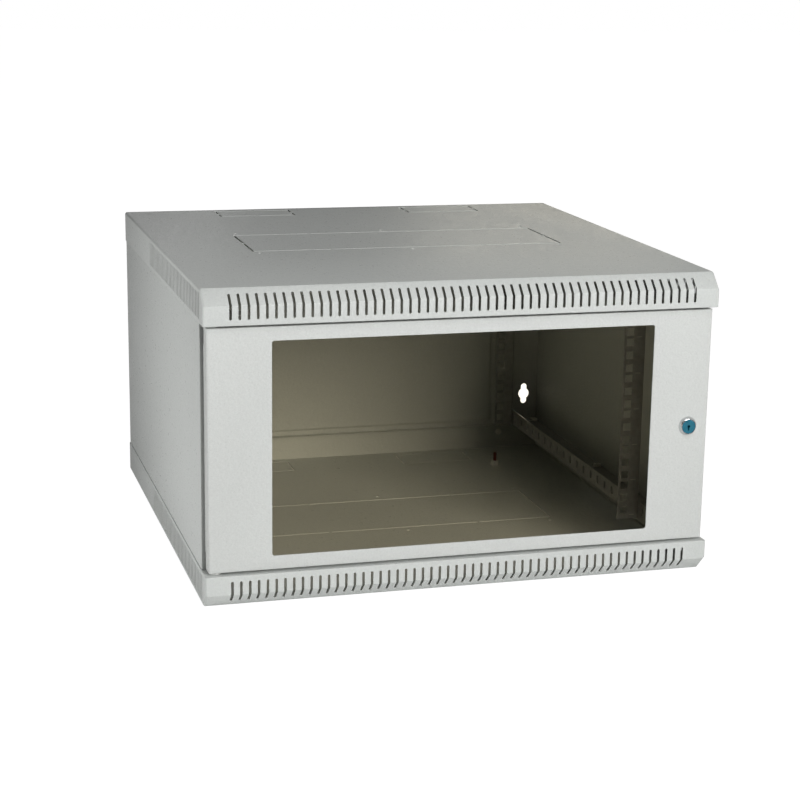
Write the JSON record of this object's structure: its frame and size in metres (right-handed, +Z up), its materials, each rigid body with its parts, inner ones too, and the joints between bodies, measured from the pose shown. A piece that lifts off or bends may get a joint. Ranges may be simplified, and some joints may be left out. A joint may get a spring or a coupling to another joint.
{
  "type": "wall mount network cabinet",
  "caption": "Shallow wall mount network cabinet with a hinged tinted glass door, cam lock, slotted roof and base, and square-hole 19 inch uprights inside",
  "frame": {"origin": "middle of the cabinet's bounding box, on its underside", "axes": "+Z up, the glazed door faces -Y and the wall is at +Y, +X is the lock side"},
  "size_m": [0.6, 0.6, 0.36],
  "materials": {
    "shell_paint": "light grey powder coat, fine texture",
    "door_paint": "light grey powder coat, fine texture",
    "tinted_glass": "bronze tinted toughened glass",
    "black_tape": "black foam tape",
    "zinc_rail": "zinc plated sheet steel",
    "zinc_fastener": "bright zinc plate",
    "spring_steel": "drawn spring wire",
    "copper_stud": "copper plated stud",
    "black_nylon": "moulded nylon",
    "chrome": "polished chrome plate",
    "lock_face": "glossy dark face with a key slot"
  },
  "bodies": {
    "cabinet": {"base": "shell_paint", "roof": "shell_paint", "side_panel_left": "shell_paint", "side_panel_right": "shell_paint", "rear_panel": "shell_paint", "rail_front_left": "zinc_rail", "rail_front_right": "zinc_rail", "rail_rear_left": "zinc_rail", "rail_rear_right": "zinc_rail", "depth_rail_lower_left": "zinc_rail", "depth_rail_lower_right": "zinc_rail", "depth_rail_upper_left": "zinc_rail", "depth_rail_upper_right": "zinc_rail", "body_screws": "zinc_fastener", "body_nuts": "zinc_fastener", "rail_screws": "zinc_fastener", "rail_nuts": "zinc_fastener", "rear_panel_screws": "zinc_fastener", "ground_stud": "copper_stud", "ground_washer": "zinc_fastener", "ground_nut": "zinc_fastener", "hinge_pin_bottom": "zinc_fastener", "hinge_washer": "black_nylon"},
    "door": {"door_shell": "door_paint", "door_tape": "black_tape", "door_glass": "tinted_glass", "hinge_bracket_bottom": "zinc_rail", "hinge_bracket_top": "zinc_rail", "hinge_spring": "spring_steel", "lock_barrel": "chrome", "lock_nut": "zinc_fastener"},
    "top_pin": {"hinge_pin_top": "zinc_fastener"},
    "lock": {"lock_plug": "lock_face", "lock_cam": "zinc_fastener", "lock_cam_screw": "zinc_fastener"}
  },
  "joints": [
    {"name": "door_hinge", "type": "hinge", "parent": "cabinet", "child": "door", "pos_m": [-0.286, -0.285, 0.18], "axis": [0, 0, -1], "range_deg": [0, 180]},
    {"name": "lock_turn", "type": "hinge", "parent": "door", "child": "lock", "pos_m": [0.271, -0.28, 0.18], "axis": [0, -1, 0], "range_deg": [0, 90]},
    {"name": "top_pin_slide", "type": "slide", "parent": "door", "child": "top_pin", "axis": [0, 0, -1], "range_m": [0, 0.005], "stiffness_N_per_m": 600, "springref_m": -0.004, "deforming": ["hinge_spring"]}
  ]
}
